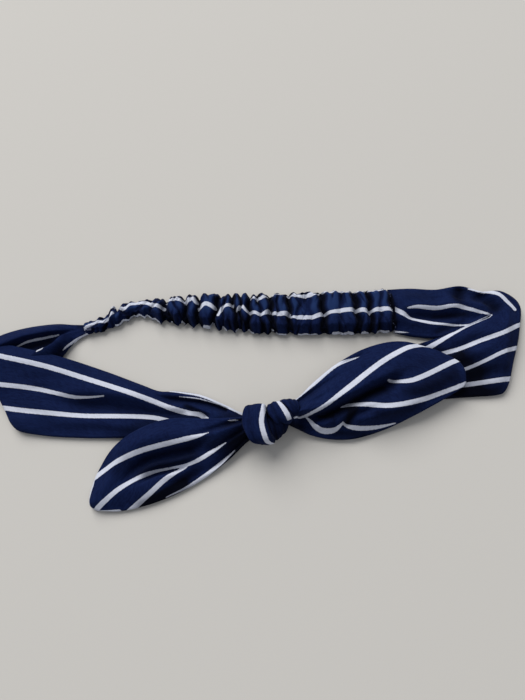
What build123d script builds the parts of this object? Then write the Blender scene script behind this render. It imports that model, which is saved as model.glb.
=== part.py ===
from build123d import *
import os
from math import atan2, degrees

# Knotted headband, lying flat on a table as a flattened loop. Millimetres, +Z up, z = 0 is the table.
# The elastic back runs along +Y, the knot is in front at -Y, and the loop folds over at both X ends.
# A sewn cloth tube makes the front band, a second tube with leaf-shaped ends is knotted round it, and
# a gathered sleeve with a flat elastic inside closes the loop.

# ---- Driving dimensions ----
cloth_slab = 3.5  # a flattened two-layer tube with the air inside it
fold_gap = 0.5  # between the front layer and the layer that returns beneath it
fold_wall = 4.0  # width of the roll at each end of the loop
return_top = cloth_slab
front_bottom = return_top + fold_gap
front_top = front_bottom + cloth_slab
rest_gap = 0.5  # a tail lies this far above the band beneath it

knot_left = -5.0  # first turn's outer face
knot_right = 19.0  # last turn's outer face
turn_gap = 0.3
turn_wall = 3.0
turn_radius = 5.0
turn_hole_radius = 1.0
throat_y = -12.5  # centre line of what passes through the knot
throat_width = 8.0
throat_left = knot_left - 2.0
throat_right = knot_right + 2.0
throat_bottom = turn_wall + 0.3
core_height = 4.0

sleeve_left = -75.0  # sewn joint with the left band
sleeve_right = 67.5  # sewn joint with the right band
sleeve_top = 6.5
sleeve_skin = 1.0  # gathered cloth above and below the elastic
sleeve_side = 1.5  # gathered cloth at the two long edges
strip_thickness = 1.2
strip_inset = 2.0  # elastic's long edge inside the sleeve's

tail_thickness = 3.5

stitch_long = 2.0
stitch_thick = 0.5
stitch_pitch = 3.2
stitch_off = 0.35  # from the cloth's edge to the middle of the thread

# ---- Plan outlines, each edge from left to right or from top to bottom ----
left_upper = [(-125, 36), (-107, 31), (-85, 23), (-58, 12), (-31, 3), (-14, -4), (throat_left, -9.0)]
left_lower = [(-100, -10), (-80, -14), (-57, -16), (-30, -16.4), (throat_left, -16.0)]
left_fold = [(-125, 36), (-118, 20), (-109, 2), (-100, -10)]
left_return_upper = [(-125, 36), (-112, 38.5), (-92, 40.5), (sleeve_left, 39.5)]
left_return_lower = [(-100, -10), (-92, 6), (-84, 24), (sleeve_left, 33.5)]

right_upper = [(throat_right, -9.0), (36, 3), (55, 11), (80, 17), (104, 24), (126, 29)]
right_lower = [(throat_right, -16.0), (40, -15), (62, -12), (87, -9.5), (110, -9)]
right_fold = [(126, 29), (122, 18), (117, 4), (110, -9)]
right_return_upper = [(sleeve_right, 44), (84, 43.5), (100, 42), (113, 38.5), (126, 29)]
right_return_lower = [(sleeve_right, 23), (80, 20), (95, 8), (110, -9)]

sleeve_upper = [(sleeve_left, 39.5), (-64, 46.5), (-46, 48), (-20, 47.8), (15, 46), (sleeve_right, 44)]
sleeve_lower = [(sleeve_left, 33.5), (-62, 36.5), (-46, 37.5), (-20, 33), (15, 26.5), (sleeve_right, 23)]

# Each tail starts at the hinge line, its first two points, and both its edges end at the tip.
tail_left_upper = [(-9.8, -10), (-24, -9.5), (-39, -9), (-53, -13.5), (-64, -22), (-70, -35), (-67, -43.5)]
tail_left_lower = [(-5.4, -21), (-18, -31), (-33, -40), (-48, -44.8), (-60, -45.5), (-67, -43.5)]
tail_right_upper = [(19.4, -5.6), (30, 4), (44, 12.5), (60, 17), (75, 15.5), (88, 8.5), (95, 0)]
tail_right_lower = [(21.2, -17.4), (30, -22.5), (44, -24), (60, -20.5), (74, -15), (86, -9.5), (95, 0)]
tail_left_landing = -44.0  # Y where the left tail's underside comes down to the table
tail_left_crossing = -17.0  # Y where it lifts off the band's edge

# ---- Helpers ----


def spline(points):
    return Spline(*[Vector(x, y) for x, y in points])


def plan_between(upper, lower):
    """Face between two edges that both run from left to right, closed by straight ends."""
    left_end = Line(upper[0], lower[0])
    right_end = Line(upper[-1], lower[-1])
    return make_face([spline(upper), right_end, spline(lower), left_end])


def slab(face, bottom, top):
    return Pos(0, 0, bottom) * extrude(face, top - bottom, dir=(0, 0, 1))


def shifted(points, dy, overrun=0.0):
    """An edge moved in Y, with its two ends carried on in X by the overrun."""
    moved = [(x, y + dy) for x, y in points]
    if overrun:
        first = (moved[0][0] - overrun, moved[0][1])
        last = (moved[-1][0] + overrun, moved[-1][1])
        moved = [first] + moved[1:-1] + [last]
    return moved


def thread(x, y, z, angle, length=stitch_long):
    return Pos(x, y, z) * Rot(0, 0, angle) * Box(length, stitch_thick, stitch_thick)


def stitches_along(points, side, height, skip_start=2.0, skip_end=2.0):
    """A row of stitches beside an edge; side is +1 for its left and -1 for its right."""
    edge = spline(points)
    count = int((edge.length - skip_start - skip_end) / stitch_pitch)
    row = []
    for i in range(count):
        at = (skip_start + stitch_pitch * (i + 0.5)) / edge.length
        place = edge.position_at(at)
        run = edge.tangent_at(at)
        x = place.X - side * run.Y * stitch_off
        y = place.Y + side * run.X * stitch_off
        z = height(x, y) if callable(height) else height
        row.append(thread(x, y, z, degrees(atan2(run.Y, run.X))))
    return Compound(children=row)


def save(shape, name):
    export_step(shape, f"parts/{name}.step")


# ---- Front band: one tube through the knot, folded under at both ends of the loop ----


def folded_band(upper, lower, fold, return_upper, return_lower, inward):
    """Front layer, the layer that returns beneath it and the roll that joins them."""
    fold_edge = spline(fold)
    knot_end = Line(upper[-1], lower[-1]) if inward > 0 else Line(upper[0], lower[0])
    sleeve_x = -1 if inward > 0 else 0
    sleeve_end = Line(return_upper[sleeve_x], return_lower[sleeve_x])
    front = make_face([spline(upper), knot_end, spline(lower), fold_edge])
    back = make_face([spline(return_upper), sleeve_end, spline(return_lower), fold_edge])
    inner = [(x + inward * fold_wall, y - (2.0 if y > 0 else 0.0)) for x, y in fold]
    roll = make_face(
        [fold_edge, Line(fold[-1], inner[-1]), spline(inner), Line(fold[0], inner[0])]
    )
    shape = slab(front, front_bottom, front_top)
    shape += slab(back, 0, return_top)
    shape += slab(roll, 0, front_top) & slab(front, 0, front_top)
    return shape.solid()


def front_band_left():
    return folded_band(left_upper, left_lower, left_fold, left_return_upper, left_return_lower, 1)


def front_band_right():
    return folded_band(
        right_upper, right_lower, right_fold, right_return_upper, right_return_lower, -1
    )


def band_throat():
    length = throat_right - throat_left
    middle = (throat_left + throat_right) / 2
    return Pos(middle, throat_y, throat_bottom + core_height / 2) * Box(
        length, throat_width, core_height
    )


# ---- Tie: one strip with leaf-shaped ends, wound round the band ----


def knot_turn(x_from, x_to, y_from, y_to, height):
    """One turn of the tie, a ring whose hole runs along X."""
    wide = y_to - y_from
    hole = RectangleRounded(wide - 2 * turn_wall, height - 2 * turn_wall, turn_hole_radius)
    ring = RectangleRounded(wide, height, turn_radius) - hole
    place = Plane(origin=(x_from, (y_from + y_to) / 2, height / 2), x_dir=(0, 1, 0), z_dir=(1, 0, 0))
    return extrude(place * ring, x_to - x_from).solid()


turn_step = (knot_right - knot_left + turn_gap) / 3
turn_length = turn_step - turn_gap


def turn_start(i):
    return knot_left + i * turn_step


def tie_turn_left():
    return knot_turn(turn_start(0), turn_start(0) + turn_length, -23.5, -5.0, 16.0)


def tie_turn_middle():
    return knot_turn(turn_start(1), turn_start(1) + turn_length, -24.5, -4.5, 18.0)


def tie_turn_right():
    return knot_turn(turn_start(2), turn_start(2) + turn_length, -20.5, -4.5, 15.5)


def tie_core():
    length = knot_right - knot_left
    bottom = throat_bottom + core_height + 0.3
    return Pos((knot_left + knot_right) / 2, throat_y, bottom + core_height / 2) * Box(
        length, throat_width, core_height
    )


def tail_outline(upper, lower):
    return make_face([spline(upper), spline(lower), Line(upper[0], lower[0])])


tail_bottom = front_top + rest_gap
tail_left_slope = tail_bottom / (tail_left_crossing - tail_left_landing)


def tail_left_floor(x, y):
    """Height of the left tail's underside: over the band's edge, then down to the table."""
    return max(0.0, (y - tail_left_landing) * tail_left_slope)


def tie_tail_left():
    far = 60.0
    top = tail_left_floor(0, 0)
    section = Polygon(
        (-far, 0),
        (tail_left_landing, 0),
        (0, top),
        (0, top + tail_thickness),
        (tail_left_landing, tail_thickness),
        (-far, tail_thickness),
        align=None,
    )
    side_on = Plane(origin=(-2 * far, 0, 0), x_dir=(0, 1, 0), z_dir=(1, 0, 0))
    sheet = extrude(side_on * section, 2 * far)
    leaf = slab(tail_outline(tail_left_upper, tail_left_lower), 0, far)
    return (leaf & sheet).solid()


def tie_tail_right():
    leaf = tail_outline(tail_right_upper, tail_right_lower)
    return slab(leaf, tail_bottom, tail_bottom + tail_thickness).solid()


# ---- Elastic back ----


def elastic_sleeve():
    outer = slab(plan_between(sleeve_upper, sleeve_lower), 0, sleeve_top)
    hollow = plan_between(
        shifted(sleeve_upper, -sleeve_side, 1.0), shifted(sleeve_lower, sleeve_side, 1.0)
    )
    return (outer - slab(hollow, sleeve_skin, sleeve_top - sleeve_skin)).solid()


strip_bottom = (sleeve_top - strip_thickness) / 2
strip_top = strip_bottom + strip_thickness


def elastic_strip():
    face = plan_between(shifted(sleeve_upper, -strip_inset), shifted(sleeve_lower, strip_inset))
    return slab(face, strip_bottom, strip_top).solid()


# ---- Threads ----


def sleeve_seam():
    return stitches_along(sleeve_lower, -1, 2.0)


def band_seam_left():
    return stitches_along(left_lower, -1, front_bottom + 1.5, skip_end=6.0)


def band_seam_right():
    return stitches_along(right_lower, -1, front_bottom + 1.5, skip_start=6.0)


def tail_seam_left():
    return stitches_along(
        tail_left_lower, 1, lambda x, y: tail_left_floor(x, y) + tail_thickness / 2, 4.0, 4.0
    )


def tail_seam_right():
    return stitches_along(tail_right_lower, -1, tail_bottom + tail_thickness / 2, 4.0, 4.0)


def joint_row(x, y_from, y_to):
    """Stitches on top of the band, along the line where it is sewn to the sleeve."""
    count = int((y_to - y_from) / stitch_pitch)
    first = (y_from + y_to) / 2 - stitch_pitch * (count - 1) / 2
    height = return_top + stitch_thick / 2 + 0.05
    row = [thread(x, first + stitch_pitch * i, height, 90) for i in range(count)]
    return Compound(children=row)


def left_joint_stitching():
    return joint_row(sleeve_left - 1.0, 33.0, 40.0)


def right_joint_stitching():
    return joint_row(sleeve_right + 1.0, 23.5, 43.5)


def elastic_tack(x, y_from, y_to, count):
    """Short bars over the elastic's end that hold it in the joint."""
    pitch = (y_to - y_from) / count
    height = strip_top + stitch_thick / 2 + 0.05
    bars = [thread(x, y_from + pitch * (i + 0.5), height, 0) for i in range(count)]
    return Compound(children=bars)


def left_elastic_tack():
    return elastic_tack(sleeve_left + 1.2, 35.7, 37.3, 2)


def right_elastic_tack():
    return elastic_tack(sleeve_right - 1.2, 26.0, 41.0, 10)


nodes = [
    front_band_left,
    front_band_right,
    band_throat,
    tie_turn_left,
    tie_turn_middle,
    tie_turn_right,
    tie_core,
    tie_tail_left,
    tie_tail_right,
    elastic_sleeve,
    elastic_strip,
    sleeve_seam,
    left_joint_stitching,
    right_joint_stitching,
    left_elastic_tack,
    right_elastic_tack,
    band_seam_left,
    band_seam_right,
    tail_seam_left,
    tail_seam_right,
]
os.makedirs("parts", exist_ok=True)
for make in nodes:
    save(make(), make.__name__)
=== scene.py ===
"""Knotted headband: striped cloth, knot, tails and gathered elastic back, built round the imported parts."""
import math

import bpy
import numpy as np
from mathutils import Matrix, Vector


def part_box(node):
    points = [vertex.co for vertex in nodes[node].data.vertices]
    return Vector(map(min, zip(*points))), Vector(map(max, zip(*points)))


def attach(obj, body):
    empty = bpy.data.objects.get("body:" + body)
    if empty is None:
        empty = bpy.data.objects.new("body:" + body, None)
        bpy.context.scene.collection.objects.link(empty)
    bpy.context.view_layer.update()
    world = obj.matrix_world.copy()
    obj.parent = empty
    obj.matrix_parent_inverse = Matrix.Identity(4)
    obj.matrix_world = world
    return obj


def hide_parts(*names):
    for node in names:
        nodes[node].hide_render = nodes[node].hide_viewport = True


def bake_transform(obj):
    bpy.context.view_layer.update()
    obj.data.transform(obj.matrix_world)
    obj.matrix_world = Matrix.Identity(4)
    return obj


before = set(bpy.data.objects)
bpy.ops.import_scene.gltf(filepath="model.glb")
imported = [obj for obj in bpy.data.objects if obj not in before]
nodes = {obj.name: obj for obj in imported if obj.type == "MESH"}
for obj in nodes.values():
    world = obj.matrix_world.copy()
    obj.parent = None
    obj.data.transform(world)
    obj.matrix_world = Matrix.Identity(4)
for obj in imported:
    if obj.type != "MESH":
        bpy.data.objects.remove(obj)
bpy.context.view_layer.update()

MM = 0.001  # every outline below is in millimetres, in the frame that the parts share

# ---- Driving values ----
FLOOR_GAP = 0.25  # cloth starts this far above the floor
EDGE = 1.1  # radius of a flattened tube's rolled edge
GRID = 0.6  # spacing of the cloth's mesh
STRIPE = 1.02  # half the width of a white stripe
PLAIN_HALF = 1.35  # the half width that the tables of stripes give to such a stripe
STRIPE_PITCH = 12.0
UNDER_SHIFT = 3.0  # where the underside's stripes start, from the edge
NO_STRIPE = -9.0  # the stripe value of plain navy cloth
SLEEVE_SPLIT = 11.4  # where the two halves of the sleeve meet, in a deep gather
SLEEVE_FULLNESS = 1.8  # length of cloth in each length of the gathered sleeve

# The stage
FLOOR_HALF = 3.0  # metres
FLOOR_COLOUR = (0.565, 0.55, 0.525, 1)
SKY_COLOUR = (0.92, 0.95, 1.0, 1)
SKY_STRENGTH = 0.33

# The camera, in metres and degrees, with its lens and sensor in millimetres
CAMERA_PLACE = (0.006, -0.047, 0.225)
CAMERA_ELEVATION = 73.3
CAMERA_ROLL = 4.8
CAMERA_LENS = 25.97
CAMERA_SENSOR = 36.0
CAMERA_NEAR = 0.005


# ---- Lines and fields ----
def smooth(x):
    """0 below 0, 1 above 1, and an even rise between them."""
    x = np.clip(x, 0.0, 1.0)
    return x * x * (3 - 2 * x)


def running(points):
    """The length along a row of points, up to each of them."""
    return np.concatenate([[0], np.cumsum(np.linalg.norm(np.diff(points, axis=0), axis=1))])


def shares(count, even):
    """Shares of a width from 0 to 1, closer together at both edges. even is the evenly spaced part."""
    tau = np.linspace(0, 1, count + 1)
    return even * tau + (1 - even) * (0.5 - 0.5 * np.cos(math.pi * tau))


class Line:
    """A smooth line through given points of any dimension, read by its share of length."""

    def __init__(self, points, fine=24):
        p = np.array(points, float)
        p = np.vstack([2 * p[0] - p[1], p, 2 * p[-1] - p[-2]])
        knots = np.concatenate([[0], np.cumsum(np.linalg.norm(np.diff(p[:, :2], axis=0), axis=1) ** 0.5)])
        rows = []
        for i in range(1, len(p) - 2):
            t0, t1, t2, t3 = knots[i - 1 : i + 3]
            t = np.linspace(t1, t2, fine, endpoint=i == len(p) - 3)[:, None]
            a1 = (t1 - t) / (t1 - t0) * p[i - 1] + (t - t0) / (t1 - t0) * p[i]
            a2 = (t2 - t) / (t2 - t1) * p[i] + (t - t1) / (t2 - t1) * p[i + 1]
            a3 = (t3 - t) / (t3 - t2) * p[i + 1] + (t - t2) / (t3 - t2) * p[i + 2]
            b1 = (t2 - t) / (t2 - t0) * a1 + (t - t0) / (t2 - t0) * a2
            b2 = (t3 - t) / (t3 - t1) * a2 + (t - t1) / (t3 - t1) * a3
            rows.append((t2 - t) / (t2 - t1) * b1 + (t - t1) / (t2 - t1) * b2)
        self.points = np.vstack(rows)
        self.along = running(self.points[:, :2])
        self.length = self.along[-1]

    def __call__(self, share):
        at = np.asarray(share) * self.length
        return np.stack([np.interp(at, self.along, c) for c in self.points.T], axis=-1)


def near(line, x, y):
    """For each point of the plan: signed distance to a line (left is plus) and the share along it."""
    p = line.points[:, :2]
    a, d = p[:-1], np.diff(p, axis=0)
    size = (d * d).sum(1) + 1e-12
    q = np.stack([x.ravel(), y.ravel()], axis=1)
    best = np.full(len(q), 1e9)
    side = np.ones(len(q))
    share = np.zeros(len(q))
    for i in range(len(a)):
        r = q - a[i]
        t = np.clip((r @ d[i]) / size[i], 0, 1)
        off = r - t[:, None] * d[i]
        dist = np.hypot(off[:, 0], off[:, 1])
        hit = dist < best
        best = np.where(hit, dist, best)
        side = np.where(hit, np.sign(d[i][0] * r[:, 1] - d[i][1] * r[:, 0]), side)
        share = np.where(hit, (line.along[i] + t * math.sqrt(size[i])) / line.length, share)
    return (best * side).reshape(x.shape), share.reshape(x.shape)


def fold(x, y, points, height, left, right, fade=(0.15, 0.15)):
    """A ridge (height above 0) or a valley along a line, with its own width on each side."""
    d, u = near(Line(points, 8), x, y)
    width = np.where(d > 0, left, right)
    window = smooth(u / max(fade[0], 1e-6)) * smooth((1 - u) / max(fade[1], 1e-6))
    return height * np.exp(-((d / width) ** 2)) * window


def folds(x, y, table):
    """All the folds of a table together."""
    return sum((fold(x, y, *row) for row in table), np.zeros_like(x))


def paint(x, y, stripes):
    """Above 0 inside a stripe. A stripe is its points and its half widths at those points."""
    value = np.full(x.shape, NO_STRIPE)
    for points, widths in stripes:
        if np.isscalar(widths):
            widths = [widths] * len(points)
        line = Line([(*p, w * STRIPE / PLAIN_HALF) for p, w in zip(points, widths)], 8)
        d, u = near(line, x, y)
        half = line(u)[..., 2]
        value = np.maximum(value, (half - np.abs(d)) / STRIPE)
    return value


def shade(x, y, painted_shade_lines, dents):
    """Painted shade of each point, from its own dent and from lines of painted shade and painted shadow."""
    lines = folds(x, y, painted_shade_lines)
    return np.clip(np.maximum(lines, 0.55 * smooth(-dents / 3.6)), 0, 1)


def rounded(distance, radius):
    """The height of a quarter circle that rises from an edge, as a share of its radius."""
    q = np.clip(distance / radius, 0, 1)
    return np.sqrt(1 - (1 - q) ** 2)


def crumple(u, v, size, seed):
    """Small even waves of cloth, longer along the strap than across it."""
    rng = np.random.default_rng(seed)
    total = np.zeros_like(u)
    for _ in range(9):
        ku = rng.uniform(0.02, 0.09) * rng.choice([-1, 1])
        kv = rng.uniform(0.04, 0.20)
        total += np.sin(2 * math.pi * (ku * u + kv * v) + rng.uniform(0, 6.3)) * rng.uniform(0.4, 1)
    return size * total / 3.2


# ---- Meshes ----
def placed(name, data):
    """A new object of the scene."""
    made = bpy.data.objects.new(name, data)
    bpy.context.scene.collection.objects.link(made)
    return made


def over_and_under(x, y, top, bottom):
    """Rings of a flattened tube: across its upper face and back along its underside."""
    upper = np.stack([x, y, top], axis=-1)
    lower = np.stack([x, y, bottom], axis=-1)[:, -2:0:-1]
    return np.concatenate([upper, lower], axis=1)


def with_underside(face, across):
    """The stripes of a flattened tube: those of its face, then even ones along its underside."""
    under = STRIPE_PITCH / 2 - np.abs(across % STRIPE_PITCH - STRIPE_PITCH / 2)
    under = ((STRIPE - under) / STRIPE)[:, -2:0:-1]
    return np.concatenate([face, under], axis=1)


def unshaded_underside(face):
    """The shade of a flattened tube: that of its face, then none along its underside."""
    return np.concatenate([face, 0 * face[:, -2:0:-1]], axis=1)


def tube(name, rings, stripe, lengths, closed_loop=False, painted_shade=None):
    """Closed mesh from rings of points (stations, around, 3) with the cloth's own coordinates.

    stripe is above 0 where the cloth is white; the shade painted into its colour is 1 in the depth of a fold
    and in painted shadows, 0 on flat cloth and -1 on the crown of a tight puff, where a highlight is
    painted.
    """
    n, m, _ = rings.shape
    verts = rings.reshape(-1, 3) * MM
    faces = []
    corners = []
    step = np.linalg.norm(np.diff(np.concatenate([rings, rings[:, :1]], axis=1), axis=1), axis=2)
    around = np.concatenate([np.zeros((n, 1)), np.cumsum(step, axis=1)], axis=1)
    last = n if closed_loop else n - 1
    for i in range(last):
        k = (i + 1) % n
        for j in range(m):
            o = (j + 1) % m
            faces.append((i * m + j, i * m + o, k * m + o, k * m + j))
            u0, u1 = lengths[i], lengths[i + 1]
            corners += [(u0, around[i, j]), (u0, around[i, j + 1]), (u1, around[k, j + 1]),
                        (u1, around[k, j])]
    stripe = stripe.ravel()
    painted_shade = np.zeros(n * m) if painted_shade is None else painted_shade.ravel()
    if not closed_loop:
        for i, flip in ((0, True), (n - 1, False)):
            centre = len(verts)
            verts = np.vstack([verts, verts[i * m : i * m + m].mean(0)])
            stripe = np.append(stripe, NO_STRIPE)
            painted_shade = np.append(painted_shade, 0.0)
            for j in range(m):
                o = (j + 1) % m
                a, b = (i * m + j, i * m + o)
                faces.append((b, a, centre) if flip else (a, b, centre))
                corners += [(lengths[i], around[i, j])] * 3
    mesh = bpy.data.meshes.new(name)
    mesh.from_pydata([tuple(v) for v in verts], [], faces)
    layer = mesh.uv_layers.new(name="Cloth")
    layer.data.foreach_set("uv", (np.array(corners) * MM).astype(np.float32).ravel())
    for field, values, limit in (("stripe", stripe, 2), ("painted_shade", painted_shade, 1)):
        data = mesh.attributes.new(field, "FLOAT", "POINT")
        data.data.foreach_set("value", np.clip(values, -limit, limit).astype(np.float32))
    mesh.polygons.foreach_set("use_smooth", [True] * len(mesh.polygons))
    mesh.update()
    return placed(name, mesh)


def strap(name, left, right, base, puff, wrinkles, stripes, ends=(0, EDGE), edges=(EDGE, EDGE), seed=1,
          crumpled=0.16, spacing=GRID, settle=0.5, end_line=None, painted_shade_lines=()):
    """A flattened cloth tube between two edges of the plan.

    left and right are the edges as lines of (x, y); base and puff give the underside's height and the
    crown at any x, y; wrinkles are folds; ends are the rolling radii at start and end (0 is open);
    end_line is the plan of the far end from left to right, where it isn't straight; the last argument lists
    the lines along which the shade of folds and the shadows of parts above are painted into the colour.
    """
    count = int(max(left.length, right.length) / spacing) + 1
    s = np.linspace(0, 1, count)
    a, b = left(s), right(s)
    width = np.linalg.norm(b[:, :2] - a[:, :2], axis=1)
    t = shares(int(max(width.max() * 1.15, 8) / spacing), 0.35)
    plan = a[:, None, :2] * (1 - t[:, None]) + b[:, None, :2] * t[:, None]
    if end_line is not None:
        bow = Line(end_line)(t)[:, :2] - plan[-1]
        plan = plan + bow[None] * smooth((s - 0.82) / 0.18)[:, None, None]
    x, y = plan[..., 0], plan[..., 1]
    lengths = running((a[:, :2] + b[:, :2]) / 2)
    e_left = t * width[:, None]
    e_right = (1 - t) * width[:, None]
    r = np.where(t < 0.5, edges[0], edges[1]) * np.ones_like(x)
    e = np.minimum(e_left, e_right)
    r = np.minimum(r, width[:, None] / 2)
    roll = rounded(e, r)
    crown = smooth(e / 9.0) * puff(x, y)
    low = base(x, y)
    dents = folds(x, y, wrinkles) + crumple(lengths[:, None] + 0 * x, e_left, crumpled,
                                            seed) * smooth(e / 4)
    soft = smooth((e - 0.2) / 2.2)
    top = low + r + r * roll + crown + dents * (0.25 + 0.75 * soft)
    bottom = low + r - r * roll + settle * dents * soft
    for radius, far in ((ends[0], lengths), (ends[1], lengths[-1] - lengths)):
        if radius:
            m = rounded(far, radius)[:, None]
            centre = low + np.minimum(r, radius)
            top = centre + (top - centre) * m
            bottom = centre + (bottom - centre) * m
    bottom = np.maximum(bottom, FLOOR_GAP)
    top = np.maximum(top, bottom + 0.35 * roll)
    painted = with_underside(paint(x, y, stripes), e_left + UNDER_SHIFT)
    shaded = unshaded_underside(shade(x, y, painted_shade_lines, dents))
    made = tube(name, over_and_under(x, y, top, bottom), painted, lengths, painted_shade=shaded)
    edge_points = np.stack([x[:, -1], y[:, -1], (low + r)[:, -1]], axis=-1)
    return made, edge_points


# ---- Materials ----
class Nodes:
    """A material's node tree, with short calls for the nodes used here."""

    def __init__(self, name):
        self.material = bpy.data.materials.new(name)
        self.material.use_nodes = True
        self.tree = self.material.node_tree
        self.shader = self.tree.nodes["Principled BSDF"]

    def add(self, kind, **values):
        node = self.tree.nodes.new(kind)
        for key, value in values.items():
            if key in node.inputs:
                node.inputs[key].default_value = value
            else:
                setattr(node, key, value)
        return node

    def join(self, out, socket):
        self.tree.links.new(out, socket)

    def math(self, operation, a, b=None):
        node = self.add("ShaderNodeMath", operation=operation)
        for socket, v in zip(node.inputs, (a, b)):
            if hasattr(v, "links"):
                self.join(v, socket)
            elif v is not None:
                socket.default_value = v
        return node.outputs[0]

    def mix(self, factor, a, b):
        node = self.add("ShaderNodeMix", data_type="RGBA")
        for socket, v in ((node.inputs[0], factor), (node.inputs[6], a), (node.inputs[7], b)):
            if hasattr(v, "links"):
                self.join(v, socket)
            else:
                socket.default_value = v if socket.type == "VALUE" else (*v, 1)
        return node.outputs[2]

    def ramp(self, value, low, high):
        node = self.add("ShaderNodeMapRange", interpolation_type="SMOOTHSTEP")
        node.inputs[1].default_value = low
        node.inputs[2].default_value = high
        self.join(value, node.inputs[0])
        return node.outputs[0]

    def bump(self, height, strength, distance):
        node = self.add("ShaderNodeBump", Strength=strength, Distance=distance)
        self.join(height, node.inputs["Height"])
        self.join(node.outputs[0], self.shader.inputs["Normal"])


NAVY = (0.0026, 0.0056, 0.0300)
NAVY_LIGHT = (0.0074, 0.0160, 0.0660)
# Painted shade: the darkest navy, for folds and shadows.
NAVY_PAINTED_SHADE = (0.0005, 0.0006, 0.0018)
# Painted highlight: the lightest navy, on the crowns of tight puffs.
NAVY_PAINTED_HIGHLIGHT = (0.0135, 0.0300, 0.1020)
PALE = (0.46, 0.49, 0.59)
WHITE = (0.60, 0.63, 0.74)
# Painted shade: the darkest white, for stripes in folds and shadows.
WHITE_PAINTED_SHADE = (0.10, 0.11, 0.15)
YARN = 0.00034  # pitch of the weave, in metres


def striped_cloth():
    n = Nodes("striped_cloth")
    place = n.add("ShaderNodeUVMap", uv_map="Cloth")
    stripe = n.add("ShaderNodeAttribute", attribute_name="stripe")
    painted_shade = n.add("ShaderNodeAttribute", attribute_name="painted_shade").outputs["Fac"]
    split = n.add("ShaderNodeSeparateXYZ")
    n.join(place.outputs[0], split.inputs[0])

    def yarn(axis, turn):
        turned = n.math("MULTIPLY", split.outputs[axis], 2 * math.pi / YARN)
        return n.math("SINE", n.math("ADD", turned, turn))

    def slub(scale, detail):
        stretch = n.add("ShaderNodeMapping")
        stretch.inputs["Scale"].default_value = scale
        n.join(place.outputs[0], stretch.inputs[0])
        noise = n.add("ShaderNodeTexNoise", Scale=1.0, Detail=detail, Roughness=0.6)
        n.join(stretch.outputs[0], noise.inputs["Vector"])
        return noise.outputs[0]

    warp, weft = yarn(1, 0.0), yarn(0, 0.0)
    over = n.math("MULTIPLY", warp, weft)
    along, cross = slub((140, 2600, 1), 3), slub((2600, 140, 1), 3)
    cloud = slub((60, 60, 1), 2)
    fuzz = n.math("MULTIPLY", n.math("SUBTRACT", cross, 0.5), 0.5)
    white = n.ramp(n.math("ADD", stripe.outputs["Fac"], fuzz), -0.07, 0.07)
    shade = n.math("ADD", n.math("MULTIPLY", along, 0.5), n.math("MULTIPLY", cross, 0.5))
    shade = n.math("ADD", n.math("MULTIPLY", shade, 0.8), n.math("MULTIPLY", cloud, 0.4))
    shade = n.math("ADD", shade, n.math("MULTIPLY", over, 0.10))
    grain = n.math("MULTIPLY", n.math("SUBTRACT", slub((520, 1300, 1), 1), 0.5), 0.55)
    shade = n.math("ADD", shade, grain)
    navy = n.mix(n.ramp(shade, 0.30, 0.90), NAVY, NAVY_LIGHT)
    pale = n.mix(n.ramp(shade, 0.20, 0.85), PALE, WHITE)
    # Painted highlight: the navy is lightened on the crowns of tight puffs, where the painted shade value is
    # below 0.
    navy = n.mix(n.ramp(painted_shade, 0.0, -1.0), navy, NAVY_PAINTED_HIGHLIGHT)
    # Painted shade: navy and white are darkened in folds and painted shadows, by the painted shade value
    # above 0.
    depth = n.math("MAXIMUM", painted_shade, 0.0)
    navy = n.mix(n.math("MULTIPLY", depth, 0.92), navy, NAVY_PAINTED_SHADE)
    pale = n.mix(n.math("MULTIPLY", depth, 0.6), pale, WHITE_PAINTED_SHADE)
    n.join(n.mix(white, navy, pale), n.shader.inputs["Base Color"])
    height = n.math("ADD", n.math("MULTIPLY", over, 0.5), n.math("MULTIPLY", shade, 1.2))
    n.bump(height, 0.35, 0.00012)
    n.shader.inputs["Roughness"].default_value = 0.88
    n.shader.inputs["Specular IOR Level"].default_value = 0.04
    n.shader.inputs["Sheen Weight"].default_value = 0.02
    n.shader.inputs["Sheen Roughness"].default_value = 0.45
    n.shader.inputs["Sheen Tint"].default_value = (0.55, 0.62, 0.95, 1)
    return n.material


def ribbed(name, scale, distortion, direction, dark, light, strength, distance, roughness):
    """Fine ridges in the object's own place: the twist of a thread or the ribs of an elastic."""
    n = Nodes(name)
    place = n.add("ShaderNodeTexCoord")
    ridges = n.add("ShaderNodeTexWave", Scale=scale, Distortion=distortion, bands_direction=direction)
    n.join(place.outputs["Object"], ridges.inputs["Vector"])
    n.join(n.mix(ridges.outputs["Fac"], dark, light), n.shader.inputs["Base Color"])
    n.bump(ridges.outputs["Fac"], strength, distance)
    n.shader.inputs["Roughness"].default_value = roughness
    return n.material


CLOTH = striped_cloth()
THREAD = ribbed("thread", scale=900.0, distortion=2.0, direction="DIAGONAL", dark=(0.010, 0.014, 0.045),
                light=(0.022, 0.030, 0.085), strength=0.4, distance=0.0001, roughness=0.7)
ELASTIC = ribbed("elastic", scale=420.0, distortion=0.6, direction="Y", dark=(0.55, 0.54, 0.51),
                 light=(0.80, 0.79, 0.76), strength=0.6, distance=0.0003, roughness=0.8)


def dress(obj, material):
    obj.data.materials.clear()
    obj.data.materials.append(material)
    return obj


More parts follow.
